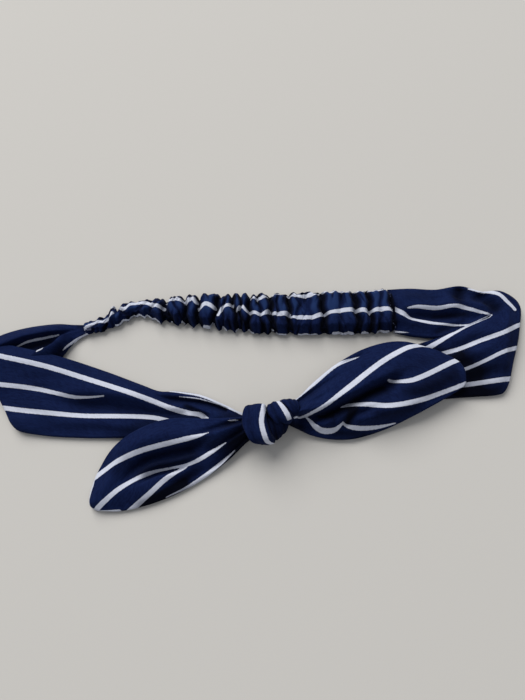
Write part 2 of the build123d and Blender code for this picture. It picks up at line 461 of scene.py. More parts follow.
# ---- Stitches ----
def stitches(name, centres, runs, length=1.9, thick=0.34):
    """Short rounded lengths of thread at the given places, joined in one piece."""
    verts, faces = [], []
    profile = [(-0.5, 0.15), (-0.42, 0.8), (-0.2, 1.0), (0.2, 1.0), (0.42, 0.8), (0.5, 0.15)]
    sides = 6
    for c, run in zip(centres, runs):
        run = np.array(run, float) / np.linalg.norm(run)
        side = np.cross(run, (0, 0, 1.0))
        side /= np.linalg.norm(side)
        up = np.cross(side, run)
        start = len(verts)
        for along, girth in profile:
            for k in range(sides):
                turn = 2 * math.pi * k / sides
                offset = (side * math.cos(turn) + up * math.sin(turn)) * girth * thick / 2
                verts.append((np.array(c) + run * along * length + offset) * MM)
        for i in range(len(profile) - 1):
            for k in range(sides):
                o = (k + 1) % sides
                faces.append((start + i * sides + k, start + i * sides + o,
                              start + (i + 1) * sides + o, start + (i + 1) * sides + k))
        faces.append(tuple(start + k for k in reversed(range(sides))))
        faces.append(tuple(start + (len(profile) - 1) * sides + k for k in range(sides)))
    mesh = bpy.data.meshes.new(name)
    mesh.from_pydata([tuple(v) for v in verts], [], faces)
    mesh.polygons.foreach_set("use_smooth", [True] * len(mesh.polygons))
    return dress(placed(name, mesh), THREAD)


def seam(name, edge, node, pitch=2.6, skip=(6.0, 4.0), inward=1):
    """Stitches along the lower side of a cloth edge, half sunk into it. inward is the cloth's side."""
    along = running(edge)
    at = np.arange(skip[0], along[-1] - skip[1], pitch)
    places = np.stack([np.interp(at, along, edge[:, k]) for k in range(3)], axis=-1)
    ahead = np.stack([np.interp(at + 0.5, along, edge[:, k]) for k in range(3)], axis=-1)
    run = ahead - places
    side = np.stack([-run[:, 1], run[:, 0], 0 * run[:, 2]], axis=-1)
    side /= np.linalg.norm(side, axis=1)[:, None]
    made = stitches(name, places + inward * 0.35 * side - (0, 0, 0.5), run)
    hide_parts(node)
    return made


# ---- Left side of the front band ----
def left_band():
    upper = Line([(1, -9.5), (-5, -8.8), (-13, -4.2), (-23, 1.2), (-34, 3.9), (-42, 4.7), (-50, 8.3),
                  (-67, 16.3), (-85, 23.6), (-106, 30.5), (-126, 37)])
    lower = Line([(1, -18), (-8, -18.5), (-22, -17.2), (-40, -16.2), (-57, -15.2), (-75, -13.8),
                  (-90, -11.8), (-101, -9.4)])

    def base(x, y):
        over_return = 3.0 * smooth((y - 4) / 18) * smooth((-66 - x) / 26)
        mouth = 2.8 * smooth((x + 24) / 20)
        return FLOOR_GAP + over_return + mouth

    def puff(x, y):
        return 1.7 + 1.0 * smooth((-80 - x) / 30) + 1.8 * smooth((x + 22) / 18)

    wrinkles = [
        ([(-96, 10.4), (-82, 7.0), (-68, 5.4), (-52, 1.4), (-38, -3)], 2.2, 6.0, 2.4, (0.3, 0.3)),
        ([(-92, 3.6), (-78, 0.4), (-63, -0.8), (-42, -5.8), (-27, -9)], -2.4, 2.4, 4.6, (0.25, 0.1)),
        ([(-118, 30), (-90, 20.6), (-62, 9), (-40, 0)], 1.0, 3.4, 6.5, (0.1, 0.2)),
        ([(-44, 2.4), (-32, -0.8), (-21, -3.2), (-11, -7.6)], -2.4, 1.0, 1.8, (0.2, 0.05)),
        ([(-31, -2.4), (-25, -6.5), (-19, -10)], -2.2, 1.0, 2.2, (0.3, 0.2)),
        ([(-108, 8), (-92, 1), (-70, -6), (-50, -10)], 0.7, 5.0, 5.0, (0.3, 0.3)),
        ([(-112, 5), (-96, -2.4), (-80, -6)], -0.6, 3.0, 3.0, (0.3, 0.4)),
        ([(-101, -4), (-84, -9.5), (-62, -12)], -0.5, 2.2, 2.6, (0.3, 0.4)),
        ([(-124, 24), (-112, 20), (-98, 16.4)], -0.7, 3.0, 3.4, (0.15, 0.4)),
    ]
    stripes = [
        ([(-128, 30.4), (-122, 29), (-114, 26), (-91, 18.8), (-68, 9.8), (-45, 0), (-36, -4.2),
          (-29, -6.6), (-24, -7.8), (-21, -10.4), (-19, -13)], 1.45),
        ([(-122, 14.4), (-113, 12.8), (-103, 11), (-95, 9.2), (-88, 7), (-80, 4.6), (-74, 3.9),
          (-66, 3.7)],
         [1.3, 1.3, 1.3, 1.25, 1.15, 0.9, 0.6, 0.35]),
        ([(-114, 2.8), (-101, 0.2), (-76, -4), (-46, -7), (-38, -9.3), (-28, -12), (-20, -14)], 1.35),
        ([(-38, 4.2), (-32, 3.0), (-23, 0.6), (-13, -4.6), (-5, -9.2)], [0.2, 0.45, 0.7, 1.0, 1.2]),
        ([(-33, 1.2), (-24, -0.6), (-15, -4.2)], [0.1, 0.3, 0.15]),
    ]
    # Painted shade: lines where the colour is darkened, in folds and in the shadow along the left tail's
    # upper edge.
    painted_shade_lines = [
        ([(-32, -1.4), (-26, -6.0), (-21, -9.4)], 0.85, 1.3, 1.6, (0.25, 0.1)),
        ([(-40, 2.4), (-31, 0.2), (-21, -2.4), (-11, -7.2)], 0.7, 1.1, 1.1, (0.2, 0.05)),
        ([(-84, 3.4), (-72, 1.6), (-60, 0.4)], 0.42, 2.2, 2.8, (0.3, 0.4)),
        ([(-62, -15), (-50, -10), (-36, -8), (-20, -9.4)], 0.45, 2.4, 2.4, (0.1, 0.1)),
        ([(-20, -12), (-9, -10), (0, -11)], 0.6, 3.0, 3.0, (0.4, 0.0)),
    ]
    far_end = [(-127, 37), (-121.5, 23), (-116.6, 11), (-111.5, 1), (-108.4, -5), (-105.8, -7.8),
               (-101.8, -9.4)]
    return strap("band_left_cloth", upper, lower, base, puff, wrinkles, stripes, ends=(0, 2.6), seed=3,
                 end_line=far_end, painted_shade_lines=painted_shade_lines)


def left_return():
    far = Line([(-124, 34.6), (-115, 38.4), (-104, 40.6), (-90, 41.2), (-82, 40.2), (-74, 39.4)])
    near_edge = Line([(-118, 10), (-105, 16), (-93, 21.5), (-87, 25), (-83.4, 29.4), (-79, 33),
                      (-74, 35.2)])

    def base(x, y):
        return FLOOR_GAP + 0 * x

    def puff(x, y):
        return 0.3 + 0.9 * smooth((x + 90) / 12)

    wrinkles = [
        ([(-118, 30), (-110, 32.6), (-103, 34.8), (-95, 35.8), (-87, 37), (-79, 38.2)], 4.4, 4.8, 0.7,
         (0.05, 0.4)),
        ([(-101, 24), (-96, 27), (-92, 28.6), (-88.6, 30.6), (-86, 34), (-81, 36.6)], 5.0, 0.6, 5.0,
         (0.1, 0.4)),
        ([(-104, 30), (-97, 32), (-90, 33.6), (-87, 35.6)], -0.8, 2.0, 2.0, (0.2, 0.2)),
        ([(-92, 23), (-86, 28.4), (-80.5, 33)], -0.9, 1.0, 1.4, (0.2, 0.3)),
    ]
    stripes = [
        ([(-112, 29.6), (-108, 31.2), (-103, 33.2), (-95, 34.4), (-88.6, 35.4)],
         [0.3, 0.45, 0.6, 0.55, 0.4]),
        ([(-96.4, 26.6), (-94.4, 27.6), (-93, 28.4)], [0.35, 0.55, 0.2]),
        ([(-86, 27.4), (-84, 29.6), (-80.4, 32.4), (-74, 35.4)], [0.15, 0.4, 0.6, 0.5]),
    ]
    # Painted shade: lines where the colour is darkened, in the cavity of the return and its creases.
    painted_shade_lines = [
        ([(-113, 28), (-105, 30.4), (-98, 31.4), (-91, 33.2), (-88, 35)], 0.96, 2.6, 3.2, (0.08, 0.25)),
        ([(-92, 22.4), (-87.6, 26.4), (-84.4, 29.8)], 0.7, 1.4, 1.6, (0.1, 0.3)),
        ([(-80, 40), (-76.4, 38), (-75, 35)], 0.5, 2.0, 2.0, (0.1, 0.1)),
    ]
    made, _ = strap("band_return_cloth", far, near_edge, base, puff, wrinkles, stripes, ends=(2.0, 0),
                    seed=5, crumpled=0.08, settle=0.0, spacing=0.45, painted_shade_lines=painted_shade_lines)
    return made


# ---- Right side of the front band: it turns in the plan, with its inner edge pleated at one point ----
def right_band():
    # inner edge x, y, height of its underside; outer edge x, y, its rolling radius
    stations = [
        ((17, -9, 3.2), (17, -17, 1.1)),
        ((27, -4, 2.0), (28, -16.2, 1.1)),
        ((42, 6, 1.0), (44, -14.6, 1.1)),
        ((60, 12.6, 1.4), (64, -12, 1.1)),
        ((79, 16.4, 3.0), (84, -9.9, 1.1)),
        ((90, 19, 3.4), (97, -9.9, 1.2)),
        ((101, 22.4, 3.4), (108, -10, 1.3)),
        ((105.6, 24.0, 2.9), (111.4, -9.2, 1.4)),
        ((108.0, 24.8, 2.6), (114.2, -5.4, 1.8)),
        ((109.8, 25.4, 2.3), (118.0, 4, 2.4)),
        ((111.3, 26, 2.0), (121.6, 12, 2.6)),
        ((112.2, 26.6, 1.7), (124.6, 20, 2.4)),
        ((112.2, 27.0, 1.5), (127.4, 29.6, 1.8)),
        ((111.6, 26.8, 1.1), (126.2, 34.0, 1.6)),
        ((110, 25.8, 0.7), (119.8, 38.8, 2.0)),
        ((106, 23.6, 0.4), (111, 39.4, 2.0)),
        ((99, 20.8, 0.25), (102, 43.2, 1.5)),
        ((88, 18.6, 0.25), (90, 42.6, 1.3)),
        ((77, 20.0, 0.25), (78, 44.2, 1.3)),
        ((67.6, 22.8, 0.25), (67.6, 44.6, 1.3)),
    ]
    inner = np.array([a for a, _ in stations], float)
    outer = np.array([b for _, b in stations], float)
    both = Line(np.hstack([outer[:, :2], inner, outer[:, 2:]]), 30)
    count = int(both.length / GRID * 1.1)
    rows = both(np.linspace(0, 1, count))
    b, a, lift, end_roll = rows[:, :2], rows[:, 2:4], rows[:, 4], rows[:, 5]
    width = np.linalg.norm(b - a, axis=1)
    t = shares(int(width.max() * 1.15 / GRID), 0.35)
    plan = a[:, None] * (1 - t[:, None]) + b[:, None] * t[:, None]
    x, y = plan[..., 0], plan[..., 1]
    lengths = running((a + 2 * b) / 3)
    e_in = t * width[:, None]
    e_out = (1 - t) * width[:, None]
    low = FLOOR_GAP + (lift[:, None] - 0.25) * (1 - smooth(t / 0.85))
    low = low + 2.6 * smooth((34 - x) / 14) * (y < 10)
    r_in = np.minimum(EDGE, width / 2.2)[:, None] * np.ones_like(x)
    r_out = np.minimum(end_roll, width / 2.2)[:, None] * np.ones_like(x)
    roll = rounded(e_in, r_in) * rounded(e_out, r_out)
    radius = r_in * (1 - t) + r_out * t
    e = np.minimum(e_in, e_out)
    puff = 2.2 + 1.0 * smooth((x - 92) / 20) - 0.6 * smooth((y - 22) / 8)
    crown = smooth(e / 9.0) * puff
    wrinkles = folds(x, y, [
        ([(103, 36.4), (109, 34.6), (113.6, 31.6), (116, 27.6)], -2.0, 3.0, 2.2, (0.3, 0.2)),
        ([(101.6, 43), (101, 39), (98.4, 35.4)], -2.4, 2.8, 3.0, (0.1, 0.3)),
        ([(110, 39), (112.6, 34.6), (114.6, 30)], -1.6, 2.0, 2.4, (0.1, 0.4)),
        ([(70, 40), (80, 38.6), (90, 37.6)], 1.0, 2.6, 2.6, (0.2, 0.3)),
        ([(78, 5), (88, 5.4), (100, 8.6), (112, 12.6)], 1.3, 2.6, 2.2, (0.1, 0.3)),
        ([(84, 21), (98, 24.4), (109, 27.4)], -1.0, 1.6, 1.6, (0.2, 0.1)),
        ([(100, 24), (110, 26.6), (121, 30)], 0.9, 2.0, 2.6, (0.1, 0.3)),
        ([(72, 30.8), (82, 29.4), (91, 28.4), (99, 28.2), (105, 27.4)], -3.0, 2.4, 2.4, (0.15, 0.3)),
        ([(70, 34.5), (82, 34.4), (92, 33.4), (100, 33.4), (108, 30)], 0.9, 2.6, 1.8, (0.1, 0.2)),
        ([(67, 30), (75, 27.5), (86, 24)], 0.7, 2.0, 2.0, (0.1, 0.3)),
        ([(78, 11), (88, 10.4), (100, 14), (116, 17)], -1.5, 2.2, 2.4, (0.1, 0.3)),
        ([(80, 1), (92, -2.4), (104, -1.4), (115, 1)], -1.6, 2.6, 2.6, (0.1, 0.3)),
        ([(84, 16), (98, 19), (110, 23.4), (119, 27)], 0.8, 2.4, 2.8, (0.2, 0.3)),
        ([(92, 41), (100, 39), (108, 37.5), (116, 34)], -0.8, 1.8, 2.6, (0.3, 0.3)),
        ([(80, 41), (86, 37), (93, 36)], -0.6, 2.0, 2.4, (0.3, 0.3)),
        ([(112, 27), (116, 29), (122, 31)], -0.5, 1.6, 1.6, (0.1, 0.4)),
    ])
    wrinkles = wrinkles + crumple(lengths[:, None] + 0 * x, e_in, 0.15, 8) * smooth(e / 4)
    soft = smooth((e - 0.2) / 2.2)
    centre = low + radius
    top = centre + radius * roll + crown + wrinkles * (0.25 + 0.75 * soft)
    bottom = np.maximum(centre - radius * roll + 0.4 * wrinkles * soft, FLOOR_GAP)
    top = np.maximum(top, bottom + 0.35 * roll)
    stripes = [
        ([(24, -9.6), (42, -1.6), (60, 4.6), (75, 10.6), (79, 12.6), (85, 15.4), (91, 18.2), (98, 21.4),
          (105, 24.0), (111.6, 26.4)],
         [0.8, 1.2, 1.4, 1.4, 1.5, 1.35, 1.05, 0.85, 0.8, 0.8]),
        ([(24, -11.4), (42, -5.4), (60, 1.0), (76, 7.4), (86, 10), (94, 11.5), (106, 15), (115, 17.2),
          (122.5, 20.3), (128, 22)], 1.25),
        ([(24, -13.2), (44, -8.6), (64, -4.4), (84, 0), (96, 2.4), (104, 5), (112, 8), (120, 10),
          (126, 11)],
         [0.8, 1.2, 1.3, 0.95, 0.95, 1.0, 1.1, 1.2, 1.2]),
        ([(24, -15), (44, -11.6), (62, -8.6), (80, -5.8), (93, -4.6), (102, -4.2), (111, -3.8),
          (120, -3.2)], 1.35),
        ([(74.6, 33.6), (79, 33.8), (88, 32.4), (97, 32.6), (104, 29.8), (112.6, 26.9)],
         [0.35, 0.9, 1.05, 1.0, 0.95, 0.5]),
        ([(66, 35.6), (73, 30.8), (81, 26.6), (90, 24.6), (103, 23.2)], [1.4, 1.5, 1.2, 0.7, 0.4]),
        ([(105, 41), (109, 39.6), (113.6, 38.6), (118, 36.4), (120.8, 32.6), (123.4, 28.6)],
         [0.5, 1.0, 1.3, 1.4, 1.4, 1.3]),
        ([(66, 23.6), (70, 22.8), (74, 22.2)], [0.6, 0.45, 0.1]),
    ]
    # Painted shade: lines where the colour is darkened, in folds and in the shadow of the right tail.
    painted_shade_lines = [
        ([(91, 10), (96, 4), (98, -3), (95, -11)], 0.96, 5.4, 6.4, (0.1, 0.0)),
        ([(84, -10), (98, -9), (109, -8.2), (116, -5)], 0.88, 2.8, 2.6, (0.0, 0.3)),
        ([(70, 17), (80, 13.0), (88, 9.4), (94, 5)], 0.75, 3.0, 2.0, (0.1, 0.1)),
        ([(109, 35.4), (112.6, 33), (114.8, 30.2), (117, 26.6)], 0.8, 2.8, 3.0, (0.25, 0.3)),
        ([(102, 42.6), (101, 39.4), (98.4, 36), (95.6, 34.4)], 0.85, 3.2, 3.4, (0.1, 0.3)),
        ([(70, 41), (80, 39.6), (90, 38.6)], 0.3, 2.4, 2.4, (0.3, 0.3)),
        ([(96, 0), (107, 1.4), (118, 4.6)], 0.62, 3.8, 4.6, (0.2, 0.3)),
        ([(80, 29.2), (90, 28.8), (98, 28.6), (105, 27.6)], 0.85, 1.7, 1.5, (0.3, 0.2)),
        ([(66, 46), (67.6, 34), (66, 21)], 0.9, 2.0, 2.0, (0.0, 0.0)),
        ([(84, 20.4), (94, 22.8), (102, 24.6)], 0.6, 1.2, 1.2, (0.2, 0.3)),
        ([(112, 5), (118, 14), (120, 24)], 0.42, 4.0, 6.0, (0.3, 0.3)),
        ([(88, 12.6), (98, 15.4), (108, 19.4)], 0.35, 2.0, 2.4, (0.2, 0.4)),
        ([(68, 30), (76, 26.4), (84, 23.4)], 0.35, 1.6, 2.2, (0.2, 0.4)),
        ([(17, -10), (24, -8), (34, -2)], 0.7, 4.0, 4.0, (0.0, 0.4)),
    ]
    painted = with_underside(paint(x, y, stripes), e_out + UNDER_SHIFT)
    shaded = unshaded_underside(shade(x, y, painted_shade_lines, wrinkles))
    made = tube("band_right_cloth", over_and_under(x, y, top, bottom), painted, lengths, painted_shade=shaded)
    edge = np.stack([b[:, 0], b[:, 1], (low + radius)[:, -1]], axis=-1)
    return made, edge[lengths < 95]


# ---- Tails of the tie ----
def left_tail():
    upper = Line([(1, -10), (-5, -11), (-14, -10.6), (-24, -9.8), (-35, -8.7), (-43, -9.6), (-51, -12.2),
                  (-58.4, -16.2), (-65.8, -22.8), (-70.4, -30.4), (-72.4, -36.4)])
    lower = Line([(2, -19), (-4, -22), (-12, -28.2), (-22, -34.6), (-34, -40.2), (-44, -43.4),
                  (-54, -45.4), (-61, -45.9), (-67, -45.3)])

    def base(x, y):
        on_band = 3.6 * smooth((y + 27) / 11) * smooth((x + 78) / 14)
        mouth = 2.4 * smooth((x + 26) / 22)
        return FLOOR_GAP + on_band + mouth

    def puff(x, y):
        return 2.9 + 1.6 * smooth((x + 24) / 20)

    wrinkles = [
        ([(-2, -12.6), (-12, -14), (-21, -16), (-32, -18)], -2.2, 1.0, 1.4, (0.02, 0.5)),
        ([(-2, -15.6), (-9, -18.6), (-17, -22.4), (-26, -26)], -3.0, 1.0, 1.5, (0.02, 0.45)),
        ([(-2, -18.6), (-9, -24), (-17, -30), (-25, -34.5)], -2.4, 0.9, 1.4, (0.02, 0.45)),
        ([(-4, -13.8), (-13, -16.4), (-22, -19.4)], 0.8, 1.0, 1.2, (0.05, 0.5)),
        ([(-4, -20.4), (-10, -25.4), (-18, -31.6)], 0.9, 0.9, 0.9, (0.05, 0.5)),
        ([(-18, -19), (-28, -22.4), (-38, -24.0), (-48, -25.8), (-55, -30.4), (-61, -38)], -3.8, 3.2, 1.8,
         (0.25, 0.3)),
        ([(-22, -24.6), (-33, -26.8), (-45, -28.4), (-54, -33)], 2.8, 2.2, 0.9, (0.25, 0.3)),
        ([(-27, -28.6), (-33, -30.4), (-39, -31.4), (-46, -32.8), (-53, -36)], -3.0, 0.8, 2.8,
         (0.25, 0.25)),
        ([(-30, -13.4), (-45, -16), (-58, -21.4), (-66, -30)], 1.1, 3.4, 3.6, (0.3, 0.3)),
        ([(-36, -37.4), (-48, -42), (-60, -43.6)], 0.7, 2.6, 2.6, (0.3, 0.4)),
        ([(-58, -24), (-63, -31), (-66, -40)], 0.7, 2.6, 2.6, (0.3, 0.3)),
        ([(-20, -30), (-30, -34.6), (-40, -38)], -0.9, 1.4, 1.8, (0.3, 0.4)),
    ]
    stripes = [
        ([(-73, -32.6), (-68, -29.6), (-60, -25.4), (-50, -22), (-35, -19.4), (-26, -18), (-20, -16.8)],
         [1.4, 1.4, 1.4, 1.35, 1.3, 1.2, 0.2]),
        ([(-72, -46.6), (-66, -41.6), (-58, -36), (-50, -32.4), (-44, -30.8), (-37, -29.9), (-28, -28.7),
          (-20, -25), (-13, -21.6)], [1.4, 1.35, 1.3, 1.1, 0.75, 0.62, 0.9, 1.2, 0.4]),
        ([(-60, -49), (-54, -45), (-47, -40), (-39, -34), (-31, -30)], [1.5, 1.5, 1.4, 1.3, 0.8]),
        ([(-40, -41.8), (-32, -38.8), (-24, -34.8), (-16, -29.6), (-9.6, -24.8)],
         [0.3, 0.6, 1.1, 1.0, 0.3]),
        ([(-71.4, -33), (-73, -39), (-73, -41.4), (-72.2, -43.6), (-70, -45.2), (-66, -45.7),
          (-60, -45.9)], 0.95),
        ([(-11.6, -12.2), (-9.4, -12.3), (-7.2, -12.4)], [0.1, 0.36, 0.3]),
    ]
    # Painted shade: lines where the colour is darkened, in the pleats and folds, most near the knot.
    painted_shade_lines = [
        ([(-20, -23.4), (-29, -27.2), (-36, -28.6), (-43, -29.2), (-50, -31), (-57, -36)], 0.8, 0.8, 3.8,
         (0.25, 0.25)),
        ([(-16, -16.8), (-25, -21), (-34, -23.6), (-44, -24.8)], 0.42, 2.0, 2.4, (0.2, 0.3)),
        ([(2, -16.5), (-6, -19), (-13, -23.4), (-19, -27.6)], 0.85, 4.5, 2.6, (0.0, 0.45)),
        ([(2, -20), (-5, -23.6), (-12, -29.4), (-18, -33.6)], 0.8, 2.4, 2.4, (0.0, 0.45)),
        ([(2, -12.4), (-9, -13.4), (-20, -15.6)], 0.8, 1.6, 1.6, (0.0, 0.4)),
        ([(-28, -36.4), (-38, -40.6), (-48, -43.6), (-56, -45)], 0.9, 2.4, 3.0, (0.2, 0.2)),
        ([(-6, -16), (-14, -20), (-24, -24)], 0.35, 2.0, 2.0, (0.0, 0.4)),
        ([(-22, -29.4), (-30, -34.2), (-38, -38.8), (-46, -42.8), (-54, -45.4)], 0.8, 2.8, 2.2,
         (0.3, 0.2)),
        ([(-52, -24.6), (-58, -27.6), (-63, -32)], 0.4, 2.6, 2.6, (0.3, 0.4)),
    ]
    return strap("tail_left_cloth", upper, lower, base, puff, wrinkles, stripes, ends=(0, 1.2), seed=11,
                 end_line=[(-72.4, -36.4), (-73, -39), (-73, -41.4), (-72.2, -43.4), (-70, -44.8),
                           (-67, -45.3)],
                 painted_shade_lines=painted_shade_lines)


def right_tail():
    upper = Line([(14, -6.6), (19, -5.2), (27, 1.4), (38, 9), (51, 15), (63, 17.4), (71, 16.8), (78, 14.2),
                  (84.6, 11.2), (90, 7.6)])
    lower = Line([(13, -15.4), (18, -18), (24, -21), (33, -23.4), (42, -24), (56, -21.2), (69, -16.6),
                  (80, -12), (87, -8.8), (92, -6.2)])

    def base(x, y):
        on_band = 4.4 * smooth((y + 22) / 9)
        mouth = 1.6 * smooth((32 - x) / 14)
        return FLOOR_GAP + 0.6 + on_band + mouth

    def puff(x, y):
        return 3.0 + 0.8 * smooth((34 - x) / 14) - 1.0 * smooth((x - 74) / 18)

    wrinkles = [
        ([(17, -11.6), (26, -11.0), (33, -8.8), (42, -5.2), (54, -0.2), (62, 2.6), (70, 4.6)], 2.6, 5.0,
         1.5, (0.1, 0.25)),
        ([(18, -13.4), (26, -13.6), (33, -11.9), (42, -8.2), (54, -3.4), (61, -1.4), (68, 0)], -4.8, 1.0,
         3.4, (0.03, 0.2)),
        ([(37, -20.4), (40, -17), (45, -14), (54, -12.6)], -2.6, 1.4, 2.0, (0.2, 0.35)),
        ([(25, -17.4), (30, -17.4), (35, -15.6)], 1.9, 2.0, 2.2, (0.25, 0.25)),
        ([(44, -17.6), (54, -15.8), (66, -13), (78, -9)], 1.2, 2.2, 2.2, (0.2, 0.3)),
        ([(18, -15.6), (25, -19), (31, -21.4)], -1.0, 1.0, 1.4, (0.02, 0.5)),
        ([(18, -8.4), (26, -3.2), (36, 2.4), (48, 8)], -1.5, 1.0, 1.6, (0.03, 0.6)),
        ([(18, -10.4), (27, -7), (37, -2.4)], -1.1, 1.0, 1.2, (0.03, 0.6)),
        ([(50, 10), (62, 13), (76, 11)], 0.6, 3.2, 3.2, (0.3, 0.3)),
        ([(66, 8), (78, 7.4), (88, 4)], -0.5, 2.2, 2.4, (0.3, 0.3)),
        ([(62, -6), (74, -5), (88, -1.5)], 0.9, 2.6, 2.4, (0.3, 0.3)),
        ([(38, 9), (46, 10.4), (54, 14)], -0.8, 1.0, 1.4, (0.3, 0.3)),
    ]
    stripes = [
        ([(17, -6), (27, 0.9), (38, 8.4), (49, 11.4)], [1.3, 1.4, 1.2, 0.15]),
        ([(17, -13.8), (23, -13.0), (29, -10.8), (40, -4), (57, 7), (67, 12), (72, 13.8), (77, 14.2),
          (84, 13)],
         [0.4, 0.5, 0.85, 1.45, 1.5, 1.5, 1.4, 1.0, 0.9]),
        ([(59.4, -0.6), (62, -1.2), (68, -2), (74, -0.6), (81, 2), (88, 4.8), (96, 7.4)],
         [0.4, 0.7, 1.3, 1.4, 1.4, 1.4, 1.4]),
        ([(37.4, -10.6), (41, -9.8), (48, -10.4), (58, -12), (70, -11), (82, -8), (96, -4.0)],
         [0.1, 0.9, 1.3, 1.4, 1.35, 1.2, 1.2]),
        ([(22.6, -13.8), (24.1, -15.4), (25.8, -17.6), (28, -19.3), (31, -20.0), (34.6, -19.6),
          (38, -17.2)],
         [0.4, 0.95, 1.2, 1.3, 1.4, 1.2, 0.5]),
        ([(37.8, -17.2), (41, -19.0), (46, -20.0), (54, -19.9), (61, -18.9)], [0.5, 1.1, 1.2, 0.85, 0.3]),
    ]
    # Painted shade: lines where the colour is darkened, under the lip of the long fold and in the folds near
    # the knot.
    painted_shade_lines = [
        ([(28, -13.6), (36, -11.2), (44, -7.6), (53, -4.0), (61, -1.8)], 1.0, 0.8, 4.2, (0.2, 0.12)),
        ([(44.6, -10), (42.4, -13), (40.6, -15.8), (39, -19)], 0.95, 2.2, 1.8, (0.15, 0.15)),
        ([(25, -13.2), (30, -13.6), (35, -12.8)], 1.0, 0.8, 1.6, (0.3, 0.3)),
        ([(12, -16), (19, -17.4), (26, -20.4)], 0.9, 2.4, 3.0, (0.0, 0.45)),
        ([(45, -14), (54, -14.8), (64, -14.4), (76, -11)], 0.5, 1.8, 2.2, (0.3, 0.3)),
        ([(28, -22), (38, -21.4), (48, -22.6), (58, -21.4)], 0.75, 1.8, 2.4, (0.3, 0.4)),
        ([(60, -6.4), (70, -6.6), (80, -3.4), (92, 0.8)], 0.68, 3.4, 3.6, (0.3, 0.1)),
        ([(54, 1.6), (64, 2.4), (76, 5.6), (88, 8)], 0.3, 3.0, 2.4, (0.3, 0.3)),
        ([(17, -7.4), (24, -4), (32, 1)], 0.45, 1.2, 1.4, (0.0, 0.5)),
    ]
    return strap("tail_right_cloth", upper, lower, base, puff, wrinkles, stripes, ends=(0, 1.2), seed=17,
                 end_line=[(90, 7.6), (93, 4.6), (94.2, 1.4), (94.2, -2), (93.6, -4.6), (92, -6.2)],
                 painted_shade_lines=painted_shade_lines)


# ---- Knot ----
def turn(name, centre, radii, left_x, right_x, stripe_at, creases, thick=2.4, bulge=1.0, square=2.3,
         slant=0.0, until=9.0, dim=0.0):
    """One turn of the tie round the band.

    left_x and right_x are the turn's two edges at even steps round it, from +Y and over the top.
    stripe_at is the share of the width where a stripe runs, at the same steps, or None; it ends at the
    angle until. slant leans the turn in the plan. dim is how deep in shade the whole turn lies.
    """
    count, across = 120, 22

    def by_angle(values):
        values = np.array(list(values) + [values[0]], float)
        at = np.linspace(0, 1, len(values))
        fine = np.linspace(0, 1, count, endpoint=False)
        out = np.zeros(count)
        for k in range(len(values) - 1):
            p0, p1, p2 = values[k - 1 if k else -2], values[k], values[k + 1]
            p3 = values[(k + 2) % (len(values) - 1)]
            m = (fine >= at[k]) & (fine < at[k + 1])
            t = (fine[m] - at[k]) / (at[k + 1] - at[k])
            out[m] = 0.5 * (2 * p1 + (p2 - p0) * t + (2 * p0 - 5 * p1 + 4 * p2 - p3) * t**2
                            + (3 * p1 - p0 - 3 * p2 + p3) * t**3)
        return out

    angle = np.linspace(0, 2 * math.pi, count, endpoint=False)
    ca, sa = np.cos(angle), np.sin(angle)
    shape = (np.abs(ca) ** square + np.abs(sa) ** square) ** (-1 / square)
    cy, cz = centre
    ry, rz = radii
    left, right = by_angle(left_x), by_angle(right_x)
    width = right - left
    t = shares(across, 0.4)
    x = left[:, None] * (1 - t) + right[:, None] * t
    e = np.minimum(t, 1 - t) * width[:, None]
    out = thick * rounded(e, 1.0) + bulge * smooth(e / 4)
    # Painted shade: the whole turn by dim, a band near both its edges, and the bottom of each crease.
    shaded = np.maximum(dim * np.ones_like(x), 0.5 * smooth(1 - e / 0.7))
    for at, depth, wide in creases:
        crease = np.exp(-(((t - at) * width[:, None]) / wide) ** 2)
        out = out - depth * crease
        shaded = np.maximum(shaded, min(1.0, 1.1 * depth) * crease)
    out = out + crumple(angle[:, None] * 9 + 0 * x, t * width[:, None] * 1.2, 0.10, 31 + across)
    ny, nz = ca * shape, sa * shape
    outer = np.stack([x, cy + (ry - thick + out) * ny[:, None], cz + (rz - thick + out) * nz[:, None]],
                     axis=-1)
    inner = np.stack([x, cy + (ry - thick) * ny[:, None] + 0 * x, cz + (rz - thick) * nz[:, None] + 0 * x],
                     axis=-1)
    inner = inner[:, -2:0:-1]
    rings = np.concatenate([outer, inner], axis=1)
    rings[..., 1] += slant * (rings[..., 0] - x.mean())
    rings[..., 2] = np.maximum(rings[..., 2], FLOOR_GAP)
    if stripe_at is None:
        painted = np.full((count, across + 1), NO_STRIPE)
    else:
        half = STRIPE * (1.02 - 0.1 * smooth((angle - until + 0.6) / 0.6))[:, None]
        painted = (half - np.abs(t - by_angle(stripe_at)[:, None]) * width[:, None]) / STRIPE
        painted = np.minimum(painted, (until - angle[:, None]) * 6)
    hidden = np.full((count, inner.shape[1]), NO_STRIPE)
    lengths = np.linspace(0, 2 * math.pi * (ry + rz) / 2, count + 1)
    return tube(name, rings, np.concatenate([painted, hidden], axis=1), lengths, closed_loop=True,
                painted_shade=np.concatenate([shaded, 0 * hidden], axis=1))


